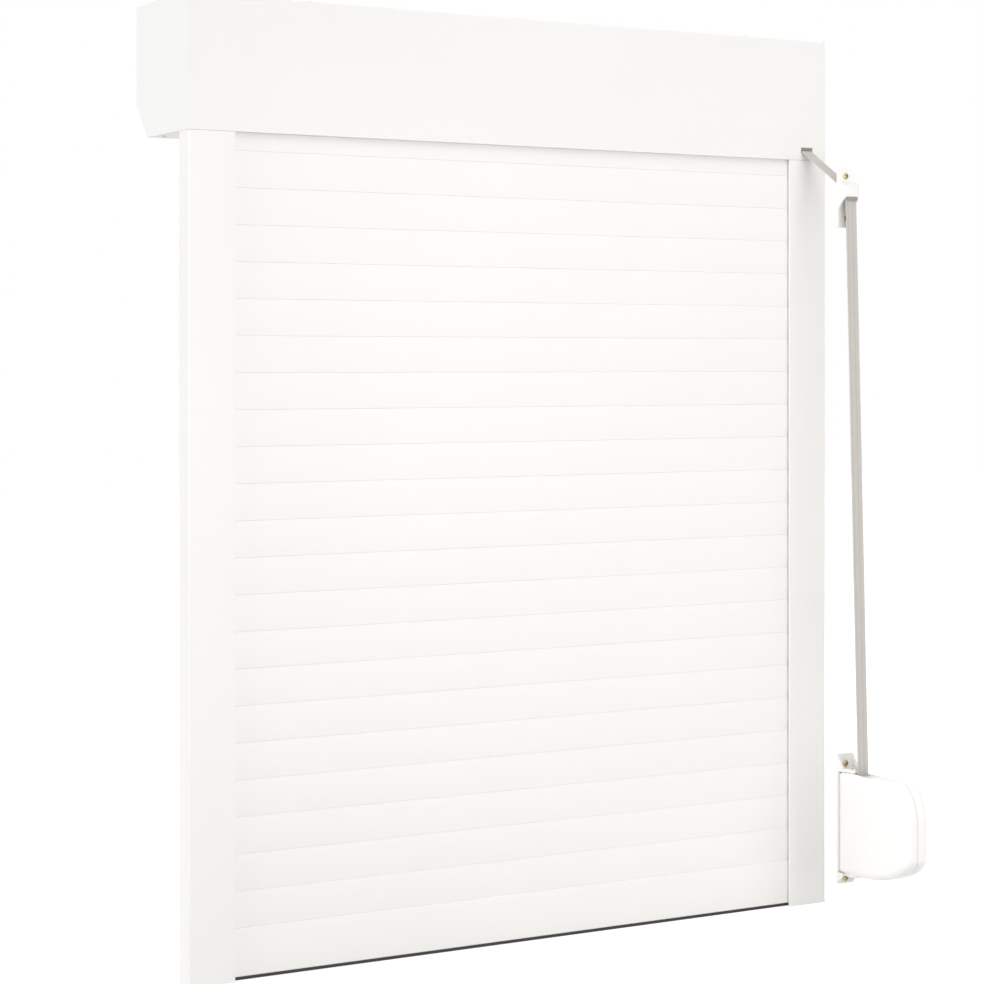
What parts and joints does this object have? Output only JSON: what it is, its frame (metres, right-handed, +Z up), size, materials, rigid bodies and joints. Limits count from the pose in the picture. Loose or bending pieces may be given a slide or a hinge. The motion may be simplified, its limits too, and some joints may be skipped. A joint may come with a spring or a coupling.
{
  "type": "roller shutter",
  "caption": "Exterior roller shutter: square box with a chamfer, slatted curtain in two guide rails, strap drive with wall guide and swivelling strap winder.",
  "frame": {"origin": "middle of the lower edge of the box's flat window-side face, where the box meets the rails", "axes": "+X along the box towards the strap end, +Y outdoors, +Z up"},
  "size_m": [0.8, 0.3378, 1.0024],
  "materials": {
    "coated_sheet": "white powder coat",
    "cap_white": "satin white moulding",
    "coated_rail": "white powder coat",
    "slat_white": "satin white",
    "end_white": "white powder coat",
    "black_rubber": "matt",
    "dark_plastic": "matt",
    "pile_grey": "woven pile",
    "steel": "zinc plated",
    "webbing": "woven webbing",
    "brass": "bright",
    "moulded_white": "satin white moulding"
  },
  "bodies": {
    "frame": {"box_shell": "coated_sheet", "box_cover": "coated_sheet", "cover_screws": "steel", "end_cap_left": "cap_white", "end_cap_right": "cap_white", "bearings": "steel", "rail_left": "coated_rail", "rail_right": "coated_rail", "rail_inlets": "cap_white", "rail_seals": "pile_grey", "rail_plugs": "dark_plastic", "strap_grommet": "dark_plastic", "strap_upper": "webbing", "strap_lower": "webbing", "guide_plate": "moulded_white", "guide_pin": "steel", "guide_screws": "brass", "winder_bracket": "moulded_white", "bracket_screws": "brass", "hinge_pins": "steel"},
    "roller": {"tube": "steel", "tube_plug": "dark_plastic", "axle_pins": "steel", "strap_disc": "dark_plastic", "disc_strap": "webbing", "hangers": "steel"},
    "curtain": {"slat_01": "slat_white", "slat_02": "slat_white", "slat_03": "slat_white", "slat_04": "slat_white", "slat_05": "slat_white", "slat_06": "slat_white", "slat_07": "slat_white", "slat_08": "slat_white", "slat_09": "slat_white", "slat_10": "slat_white", "slat_11": "slat_white", "slat_12": "slat_white", "slat_13": "slat_white", "slat_14": "slat_white", "slat_15": "slat_white", "slat_16": "slat_white", "slat_17": "slat_white", "slat_18": "slat_white", "slat_19": "slat_white", "slat_20": "slat_white", "slat_21": "slat_white", "slat_22": "slat_white", "end_slat": "end_white", "bottom_seal": "black_rubber", "end_stops": "dark_plastic"},
    "guide_roller": {"guide_roller": "moulded_white"},
    "winder": {"winder_case_left": "moulded_white", "winder_case_right": "moulded_white", "spool_axle": "steel", "spiral_spring": "steel", "strap_tail": "webbing"},
    "spool": {"winder_spool": "moulded_white", "spool_strap": "webbing"}
  },
  "joints": [
    {"name": "curtain_lift", "type": "slide", "parent": "frame", "child": "curtain", "axis": [0, 0, 1], "range_m": [0, 0.82], "deforming": ["slat_01", "slat_02", "slat_03", "slat_04", "slat_05", "slat_06", "slat_07", "slat_08", "slat_09", "slat_10", "slat_11", "slat_12", "slat_13", "slat_14", "slat_15", "slat_16", "slat_17", "slat_18", "slat_19", "slat_20", "slat_21", "slat_22", "hangers"]},
    {"name": "tube_spin", "type": "hinge", "parent": "frame", "child": "roller", "pos_m": [0, 0.0697, 0.0697], "axis": [-1, 0, 0], "range_deg": [0, 1260]},
    {"name": "guide_roller_spin", "type": "hinge", "parent": "frame", "child": "guide_roller", "pos_m": [0.3735, -0.07541, -0.04329], "axis": [1, 0, 0], "range_deg": [0, 10440]},
    {"name": "winder_swivel", "type": "hinge", "parent": "frame", "child": "winder", "pos_m": [0.3735, -0.0905, -0.7544], "axis": [0, 0, 1], "range_deg": [-80, 80], "deforming": ["strap_lower"]},
    {"name": "spool_spin", "type": "hinge", "parent": "winder", "child": "spool", "pos_m": [0.3735, -0.1423, -0.7534], "axis": [-1, 0, 0], "range_deg": [0, 1440]}
  ],
  "couplings": [
    {"joint": "tube_spin", "follows": "curtain_lift", "rad_per_m": 26.818},
    {"joint": "guide_roller_spin", "follows": "curtain_lift", "rad_per_m": 222.21},
    {"joint": "spool_spin", "follows": "curtain_lift", "rad_per_m": 30.65}
  ]
}
